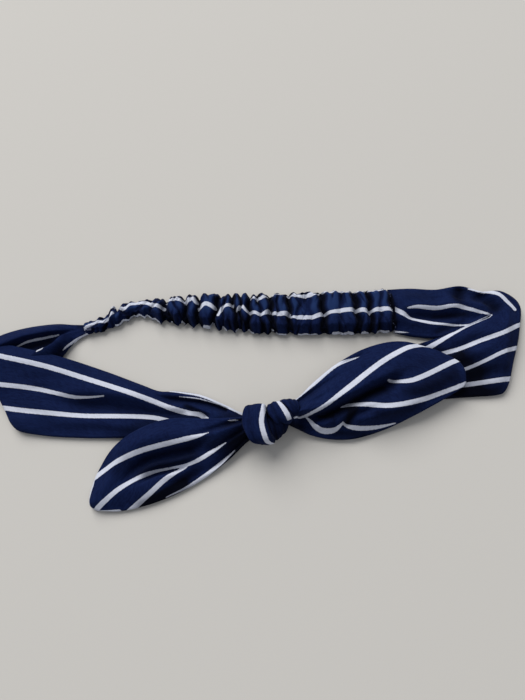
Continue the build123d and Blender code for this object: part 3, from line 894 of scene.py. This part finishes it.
def knot():
    turns = []
    # steps: +Y side, over the top (3 steps), -Y side, underneath (3 steps)
    turns.append(turn(
        "turn_left_cloth", (-15.2, 8.0), (8.5, 7.6),
        [-1.8, -4.4, -5.2, -3.0, 1.2, 0.6, -2.0, -2.0],
        [6.0, 5.6, 5.7, 7.0, 8.6, 7.4, 6.0, 6.0],
        [0.92, 0.90, 0.76, 0.73, 0.74, 0.75, 0.75, 0.8],
        [(0.28, 0.25, 0.9), (0.95, 0.4, 0.5)], thick=2.4, bulge=0.35, square=3.2, slant=0.02))
    turns.append(turn(
        "turn_middle_cloth", (-11.5, 8.4), (5.2, 6.9),
        [5.6, 5.6, 6.2, 8.4, 11.4, 9.0, 6.0, 5.4],
        [11.2, 12.6, 14.8, 16.4, 16.2, 14.0, 12.0, 11.0],
        [0.80, 0.80, 0.81, 0.80, 0.80, 0.8, 0.8, 0.8],
        [(0.3, 0.4, 0.8)], thick=2.4, bulge=0.6, square=2.8, slant=0.2, until=2.4))
    turns.append(turn(
        "turn_right_cloth", (-9.8, 7.8), (4.2, 6.0),
        [10.8, 12.2, 14.2, 15.8, 16.0, 13.0, 11.0, 10.8],
        [18.0, 19.4, 19.9, 19.4, 18.0, 17.6, 17.6, 17.8],
        None, [(0.45, 0.4, 0.9), (0.75, 0.4, 0.7)], thick=2.2, bulge=0.7, square=2.5))
    # Painted shade: the lower turn's colour is darkened all over by dim.
    turns.append(turn(
        "turn_lower_cloth", (-15.3, 6.8), (6.6, 5.6),
        [3.0, 3.5, 5.0, 6.0, 6.4, 5.0, 4.0, 3.0],
        [12.0, 13.0, 14.2, 14.8, 13.6, 12.0, 12.0, 12.0],
        None, [(0.3, 0.9, 0.6), (0.52, 0.5, 0.4), (0.74, 0.8, 0.6)], thick=2.2, bulge=0.8, square=2.2,
        slant=0.6, dim=0.62))
    return turns


# ---- Gathered sleeve ----
def pinch(off, wide):
    """1 in the bottom of a sharp gather and 0 at its puffed sides."""
    return (1 - np.clip(np.abs(off) / wide, 0, 1)) ** 1.8


def sleeve():
    top_edge = Line([(-76.5, 40.4), (-70, 42.2), (-66, 43.6), (-63, 48.4), (-55, 48.9), (-43, 49.8),
                     (-30, 50.2), (-15, 49.9), (0, 48.6), (15, 47.0), (35, 46.4), (50, 45.3),
                     (68.4, 44.6)])
    low_edge = Line([(-76.5, 35.2), (-70, 35.2), (-62, 37.6), (-52, 41), (-47, 40.6), (-42, 38),
                     (-34, 36.4), (-25, 34.2), (-15, 32.0), (-5, 29.8), (5, 27.8), (20, 26.0), (40, 24.3),
                     (55, 23.2), (68.4, 23.3)])
    xs = np.arange(-76.4, 68.5, 0.3)
    top_y = np.interp(xs, top_edge.points[:, 0], top_edge.points[:, 1])
    low_y = np.interp(xs, low_edge.points[:, 0], low_edge.points[:, 1])
    # gathers: x at the middle, slant, depth, half width, dent of the upper and of the lower edge
    gathers = [
        (-70.5, 0.9, 1.6, 2.6, 0.6, 0.5), (-64.6, 0.7, 3.0, 2.6, 2.4, 0.2),
        (-58, -0.6, 2.4, 3.4, 2.8, 0.2), (-49.5, 0.9, 1.8, 3.2, 0.3, 1.2),
        (-43.6, 0.6, 1.8, 2.6, 0.9, 0.7), (-37.9, 0.05, 4.2, 3.2, 2.6, 1.3),
        (-32.4, -0.3, 1.5, 1.4, 0.8, 0.6), (-28.2, -0.05, 4.3, 2.6, 2.6, 1.2),
        (-22.2, 0.05, 4.4, 2.6, 3.0, 1.3), (-13.8, 0.25, 4.5, 2.8, 2.8, 1.8),
        (-10.4, 0.12, 2.2, 1.5, 0.6, 1.1), (-5.4, -0.12, 4.4, 2.4, 2.4, 1.4),
        (-2.6, 0.05, 3.4, 1.5, 1.4, 0.9), (1.4, 0.08, 4.4, 2.6, 2.6, 1.6), (6.4, -0.1, 1.9, 2.0, 0.7, 1.1),
        (11.4, 0.02, 4.6, 2.8, 2.0, 1.5), (14.2, 0.12, 1.6, 1.4, 0.1, 0.7),
        (19.9, 0.03, 4.5, 2.6, 1.2, 1.1), (24.2, 0.3, 1.5, 2.2, 0.1, 0.6), (29.5, 0.0, 0.8, 2.8, 0.0, 0.2),
        (35.5, -0.02, 4.6, 3.2, 1.5, 1.2), (43.5, 0.15, 1.1, 3.0, 0.0, 0.3),
        (50.8, -0.02, 4.5, 3.0, 1.3, 1.1), (57.0, 0.02, 4.3, 2.6, 1.2, 1.0),
        (61.8, 0.12, 1.3, 2.0, 0.1, 0.5), (67.6, 0.0, 4.6, 3.0, 1.2, 1.0),
    ]
    rng = np.random.default_rng(7)
    middle_y = (top_y + low_y) / 2
    for x0, slant, _, wide, dent_top, dent_low in gathers:
        half = (np.interp(x0, xs, top_y) - np.interp(x0, xs, low_y)) / 2
        top_y = top_y - dent_top * pinch(xs - x0 - slant * half, wide * 0.9)
        low_y = low_y + dent_low * pinch(xs - x0 + slant * half, wide * 0.9)
    wave = np.sin(xs * 0.9 + 0.6) * 0.35 + np.sin(xs * 1.63 + 2.0) * 0.3 + np.sin(xs * 3.3) * 0.1
    top_y = top_y + wave
    low_y = low_y + np.roll(wave, 13) * (1.2 - 0.7 * smooth((xs + 10) / 20))
    width = top_y - low_y
    t = shares(44, 0.45)
    y = top_y[:, None] * (1 - t) + low_y[:, None] * t
    x = xs[:, None] + 0 * y
    e = np.minimum(t, 1 - t) * width[:, None]
    r = np.minimum(1.5, width[:, None] * 0.46)
    roll = rounded(e, r)
    dents = np.zeros_like(x)
    for x0, slant, depth, wide, _, _ in gathers:
        bend = x0 + slant * (y - middle_y[:, None]) + 0.45 * np.sin(y * 0.7 + x0)
        dents = np.minimum(dents, -depth * pinch(x - bend, wide))
    for _ in range(170):  # small gathers that start at an edge and die out
        x0 = rng.uniform(-72, 67)
        slant = rng.uniform(-0.55, 0.55)
        from_top = rng.random() < 0.4
        reach = rng.uniform(0.25, 0.7)
        share = t if from_top else 1 - t
        fade = smooth(1 - share / reach)
        off = x - x0 - slant * (y - middle_y[:, None])
        dents = dents - rng.uniform(0.5, 2.0) * fade * pinch(off, rng.uniform(0.8, 1.8))
    dents = dents + crumple(x * 2.2, y * 0.6, 0.14, 41)
    low = FLOOR_GAP + 0.3 * smooth(-dents / 2)
    centre = low + r
    crown = 1.6 + 3.4 * smooth((width[:, None] - 6) / 8)
    top = centre + r * roll + (crown * smooth(e / 3.6) + dents * smooth((e + 0.3) / 2.0)) * roll
    bottom = np.maximum(centre - r * roll - 0.25 * dents * roll, FLOOR_GAP)
    strip_low, strip_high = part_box("elastic_strip")
    inside = smooth(np.minimum(x + 75.5, 68.2 - x)) * smooth((e - 0.6) / 1.2)
    top = np.maximum(top, (strip_high.z / MM + 0.35) * inside)
    bottom = np.minimum(bottom, strip_low.z / MM - 0.35)
    stripes = [
        ([(-76, 37.0), (-73, 38.4), (-70, 39.8), (-67, 39.4), (-64.5, 40.8), (-62.4, 42.8)], 0.95),
        ([(-64.4, 46.6), (-61, 46.8), (-57.3, 44.8), (-54, 47.1), (-48, 47.4), (-42.9, 44.8), (-38.3, 43)],
         [0.7, 1.0, 1.1, 1.3, 1.3, 1.25, 1.1]),
        ([(-36.8, 46.2), (-33.5, 46.9), (-28.9, 45.8)], 1.35),
        ([(-27.4, 44.8), (-24.6, 46.2), (-22.9, 44.2)], 1.3),
        ([(-21.6, 41.2), (-18.6, 42.8), (-14.6, 40.7)], 1.35),
        ([(-13.0, 37), (-10.4, 40.6), (-6.2, 41.4)], [1.1, 1.0, 1.1]),
        ([(-4.2, 38.6), (-2, 40.2), (0.2, 37.8), (3.6, 36.6), (6.4, 35.4), (10.5, 36.8)],
         [0.8, 1, 1, 1, 1, 1.3]),
        ([(12.3, 35.4), (15, 34.9), (19.4, 34.7)], [1.0, 1.3, 1.5]),
        ([(20.4, 33.0), (24, 32.3), (30, 31.8), (34.8, 33.2)], [0.6, 1.2, 1.25, 1.4]),
        ([(36.2, 33.3), (44.5, 33.9), (50.4, 33.9)], [0.9, 1.35, 1.3]),
        ([(51.4, 33.7), (56.3, 32.5)], [1.3, 1.5]),
        ([(57.7, 32.6), (61, 33), (66.8, 32.6)], [1.0, 1.4, 1.2]),
        ([(2.6, 44.6), (7, 43.4), (10.6, 44.8)], [0.8, 1.2, 0.6]),
        ([(12.8, 46), (16, 45.6)], [0.6, 1.0]),
        ([(20.6, 44.4), (29.6, 42.9), (34.6, 44.6)], [1.6, 1.6, 1.0]),
        ([(36.4, 45.6), (44, 45), (50, 44.8)], [1.0, 0.8, 0.9]),
        ([(51.6, 44.6), (56.4, 44)], [0.9, 0.5]), ([(58, 44), (66, 43.8)], [0.5, 0.8]),
    ]
    rings = over_and_under(x, y, top, bottom)
    rim = np.full_like(xs, -1.0)  # where a stripe comes round the lower edge, and how far it shows
    for start, end, shows in ((-63, -40, 0.55), (-36.5, -34, 0.6), (-31.6, -28.4, 0.7),
                              (-21.6, -14.4, 0.9), (-12.8, -9, 0.7), (-6.6, -3.4, 0.6), (-1, 3.6, 0.5),
                              (12, 18.6, 0.35), (22, 33, 0.3), (38, 49.6, 0.8), (51.4, 56.4, 0.7),
                              (58.4, 66, 0.7)):
        rim = np.maximum(rim, (shows + 1) * smooth(np.minimum(xs - start, end - xs) / 1.2) - 1)
    face = np.maximum(paint(x, y, stripes), (rim[:, None] - (1 - t) * width[:, None]) / STRIPE)
    painted = with_underside(face, t * width[:, None] + 8.0)
    # Painted highlight on the crowns of the puffs, and painted shade in the gathers.
    painted_crown_highlight = smooth((dents + 1.0) / 1.0) * smooth(e / 2.5) * smooth((0.95 - t) / 0.6)
    shaded = unshaded_underside(0.98 * smooth(-dents / 2.8) - 0.9 * painted_crown_highlight)
    lengths = np.concatenate([[0], np.cumsum(np.abs(np.diff(xs)) * SLEEVE_FULLNESS)])
    split = int(np.argmin(np.abs(xs - SLEEVE_SPLIT)))
    left = tube("sleeve_left_cloth", rings[: split + 1], painted[: split + 1], lengths[: split + 1],
                painted_shade=shaded[: split + 1])
    right = tube("sleeve_right_cloth", rings[split:], painted[split:], lengths[split:],
                 painted_shade=shaded[split:])
    edge = np.stack([xs, low_y, (low + r)[:, -1]], axis=-1)
    return left, right, edge[: split + 1], edge[split:]


def elastic(xs_from, xs_to, name):
    """A ribbed flat elastic inside one half of the sleeve."""
    low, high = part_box("elastic_strip")
    xs = np.arange(xs_from, xs_to + 0.1, 0.4)
    middle = Line([(-76, 37.6), (-66, 39.6), (-62, 41.9), (-60, 43.1), (-50, 45.2), (-42, 43.2),
                   (-30, 41.8), (-20, 40.6), (15, 36.6), (69, 33.8)])
    half = Line([(-76, 0.5), (-66, 0.5), (-61, 0.3), (-58, 0.6), (-50, 0.7), (-40, 1.3), (-30, 2.2),
                 (-20, 3.2), (0, 5.2), (30, 6.4), (69, 6.8)])
    y0 = np.interp(xs, middle.points[:, 0], middle.points[:, 1])
    h = np.interp(xs, half.points[:, 0], half.points[:, 1])
    z0, z1 = low.z / MM + 0.1, high.z / MM - 0.1
    ring = [(-1, z0), (1, z0), (1, z1), (-1, z1)]
    rings = np.stack([np.stack([xs, y0 + h * side, z + 0 * xs], axis=-1) for side, z in ring], axis=1)
    return tube(name, rings, np.full(rings.shape[:2], NO_STRIPE), xs - xs[0])


# ---- Put together ----
band_left, band_left_edge = left_band()
return_left = left_return()
band_right, band_right_edge = right_band()
tail_left, tail_left_edge = left_tail()
tail_right, tail_right_edge = right_tail()
turns = knot()
sleeve_left, sleeve_right, sleeve_edge_left, sleeve_edge_right = sleeve()
for piece in (band_left, return_left, band_right, tail_left, tail_right, sleeve_left, sleeve_right,
              *turns):
    dress(piece, CLOTH)

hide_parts("front_band_left", "band_throat")
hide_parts("front_band_left")
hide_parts("front_band_right")
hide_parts("tie_tail_left")
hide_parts("tie_tail_right")
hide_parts("tie_turn_left")
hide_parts("tie_turn_middle", "tie_core")
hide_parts("tie_turn_right")
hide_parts("tie_core")
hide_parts("elastic_sleeve")
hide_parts("elastic_sleeve")

seams = {
    "band_seam_left": seam("band_seam_left_thread", band_left_edge, "band_seam_left", skip=(30, 6),
                           inward=-1),
    "band_seam_right": seam("band_seam_right_thread", band_right_edge, "band_seam_right", skip=(66, 4)),
    "tail_seam_left": seam("tail_seam_left_thread", tail_left_edge, "tail_seam_left", skip=(14, 6),
                           inward=-1),
    "tail_seam_right": seam("tail_seam_right_thread", tail_right_edge, "tail_seam_right", skip=(14, 6)),
    "sleeve_left": seam("sleeve_seam_left_thread", sleeve_edge_left, "sleeve_seam", skip=(6, 2)),
    "sleeve_right": seam("sleeve_seam_right_thread", sleeve_edge_right, "sleeve_seam", skip=(2, 4)),
}


def joint_stitches(name, x, y_from, y_to, z_at, node, pitch=1.5):
    """A row of short stitches along Y, where sleeve and band are sewn together."""
    ys = np.arange(y_from, y_to, pitch)
    places = [(x, y, z_at(y)) for y in ys]
    made = stitches(name, places, [(0.25, 1, 0)] * len(ys), length=1.2, thick=0.3)
    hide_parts(node)
    return made


joint_left = joint_stitches("left_joint_thread", -75.6, 35, 38.4, lambda y: 3.6, "left_joint_stitching")
joint_right = joint_stitches("right_joint_thread", 67.9, 25, 42.5, lambda y: 3.9, "right_joint_stitching")

for piece in turns:
    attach(piece, "knot")
for piece in (band_left, seams["band_seam_left"]):
    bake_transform(piece)
for piece in (band_right, seams["band_seam_right"]):
    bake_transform(piece)
for piece in (return_left, joint_left):
    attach(piece, "side_left")
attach(joint_right, "side_right")
for piece in (sleeve_left, seams["sleeve_left"]):
    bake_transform(piece)
for piece in (sleeve_right, seams["sleeve_right"]):
    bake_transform(piece)
for piece in (tail_left, seams["tail_seam_left"]):
    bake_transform(piece)
for piece in (tail_right, seams["tail_seam_right"]):
    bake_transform(piece)

elastic_left = elastic(-75.0, SLEEVE_SPLIT, "elastic_left")
elastic_right = elastic(SLEEVE_SPLIT, 67.0, "elastic_right")
for piece, end, body in ((elastic_left, -0.0755, "side_left"), (elastic_right, 0.0676, "side_right")):
    dress(piece, ELASTIC)
    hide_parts("elastic_strip")
    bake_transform(piece)

for name in ("left_elastic_tack", "right_elastic_tack"):
    dress(nodes[name], THREAD)


# ---- Stage ----
def floor():
    """A plain pale floor, which isn't part of the object."""
    mesh = bpy.data.meshes.new("floor")
    corners = [(-1, -1), (1, -1), (1, 1), (-1, 1)]
    mesh.from_pydata([(FLOOR_HALF * x, FLOOR_HALF * y, 0) for x, y in corners], [], [(0, 1, 2, 3)])
    made = placed("floor", mesh)
    n = Nodes("floor")
    n.shader.inputs["Base Color"].default_value = FLOOR_COLOUR
    n.shader.inputs["Roughness"].default_value = 0.9
    n.shader.inputs["Specular IOR Level"].default_value = 0.1
    made.data.materials.append(n.material)


def area_light(name, place, target, size, power, colour):
    """A round light that faces a target."""
    data = bpy.data.lights.new(name, "AREA")
    data.shape = "DISK"
    data.size = size
    data.energy = power
    data.color = colour
    made = placed(name, data)
    made.location = place
    made.rotation_euler = (Vector(target) - Vector(place)).to_track_quat("-Z", "Y").to_euler()


def camera():
    data = bpy.data.cameras.new("camera")
    data.lens = CAMERA_LENS
    data.sensor_width = CAMERA_SENSOR
    data.clip_start = CAMERA_NEAR
    made = placed("camera", data)
    elevation, roll = math.radians(CAMERA_ELEVATION), math.radians(CAMERA_ROLL)
    forward = Vector((0, math.cos(elevation), -math.sin(elevation)))
    up = Vector((0, math.sin(elevation), math.cos(elevation)))
    right = Vector((1, 0, 0))
    turned_right = right * math.cos(roll) - up * math.sin(roll)
    turned_up = right * math.sin(roll) + up * math.cos(roll)
    m = Matrix((turned_right, turned_up, -forward)).transposed().to_4x4()
    m.translation = Vector(CAMERA_PLACE)
    made.matrix_world = m
    bpy.context.scene.camera = made


floor()
area_light("window", place=(-1.1, 2.6, 2.7), target=(0, 0, 0), size=3.2, power=175.0,
           colour=(1.0, 0.985, 0.955))
area_light("room", place=(0.6, -0.6, 1.6), target=(0, 0, 0), size=1.4, power=1.0, colour=(0.95, 0.95, 1.0))
world = bpy.data.worlds.new("world")
world.use_nodes = True
world.node_tree.nodes["Background"].inputs[0].default_value = SKY_COLOUR
world.node_tree.nodes["Background"].inputs[1].default_value = SKY_STRENGTH
bpy.context.scene.world = world
bpy.context.scene.view_settings.view_transform = "Standard"
camera()
